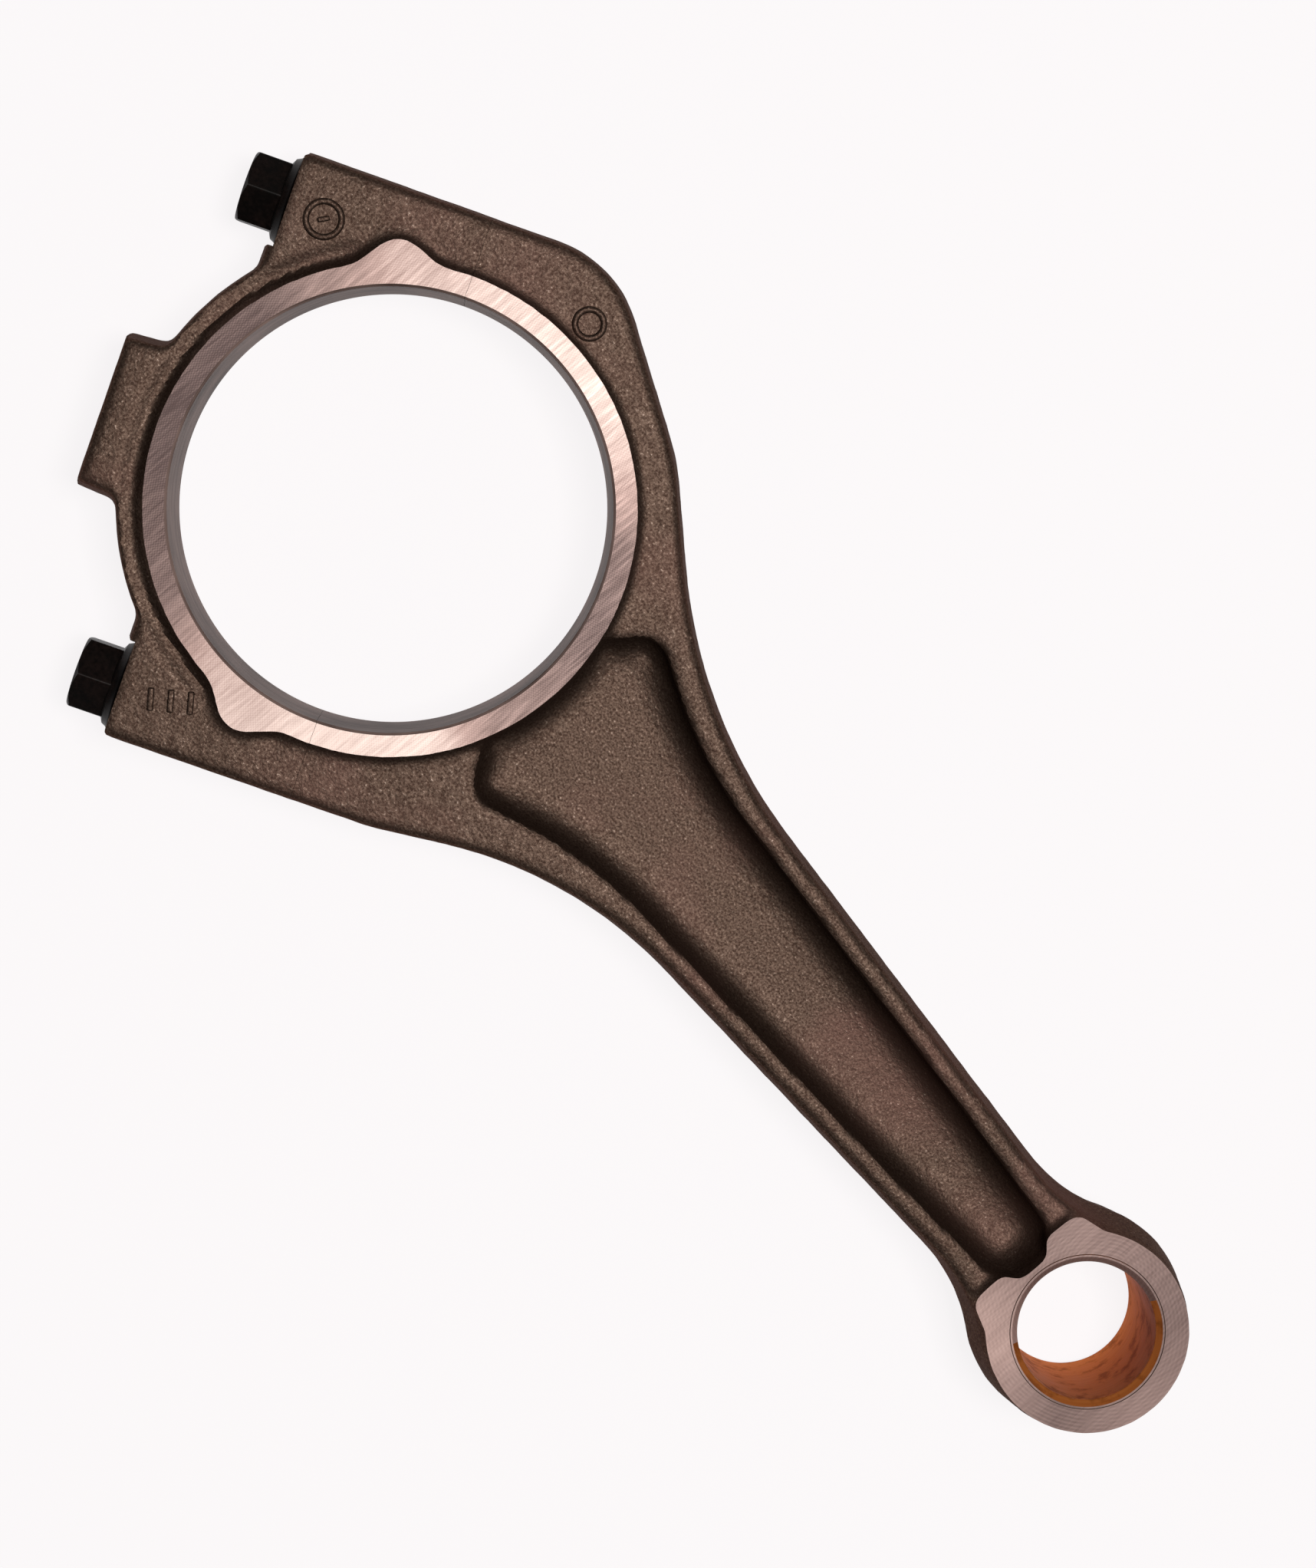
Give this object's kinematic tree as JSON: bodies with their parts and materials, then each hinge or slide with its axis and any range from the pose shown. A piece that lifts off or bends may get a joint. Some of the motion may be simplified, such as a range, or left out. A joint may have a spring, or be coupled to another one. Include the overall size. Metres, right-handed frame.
{
  "type": "connecting rod",
  "caption": "Forged I-section connecting rod with an obliquely split big end, a bolted bearing cap, flange bolts and a bronze pin bush.",
  "frame": {"origin": "centre of the bounding box, on the side face the rod lies on", "axes": "+X from the big end to the small end along the shank, +Z along both bores out of the upper side face, +Y across the shank to the side of the upper bolt"},
  "size_m": [0.2824, 0.1266, 0.03],
  "materials": {
    "forging": "shot-blasted forging skin with machined bores and side faces",
    "bolt": "black oxide",
    "bush": "bored bronze"
  },
  "bodies": {
    "rod": {"rod": "forging", "pin_bush": "bush"},
    "cap": {"big_end_cap": "forging"},
    "bolt_upper": {"cap_bolt_upper": "bolt"},
    "bolt_lower": {"cap_bolt_lower": "bolt"}
  },
  "joints": [
    {"name": "cap_off", "type": "slide", "parent": "rod", "child": "cap", "axis": [-0.8625, -0.506, 0], "range_m": [0, 0.04]},
    {"name": "bolt_upper_out", "type": "slide", "parent": "cap", "child": "bolt_upper", "axis": [-0.8625, -0.506, 0], "range_m": [0, 0.06]},
    {"name": "bolt_lower_out", "type": "slide", "parent": "cap", "child": "bolt_lower", "axis": [-0.8625, -0.506, 0], "range_m": [0, 0.06]}
  ]
}
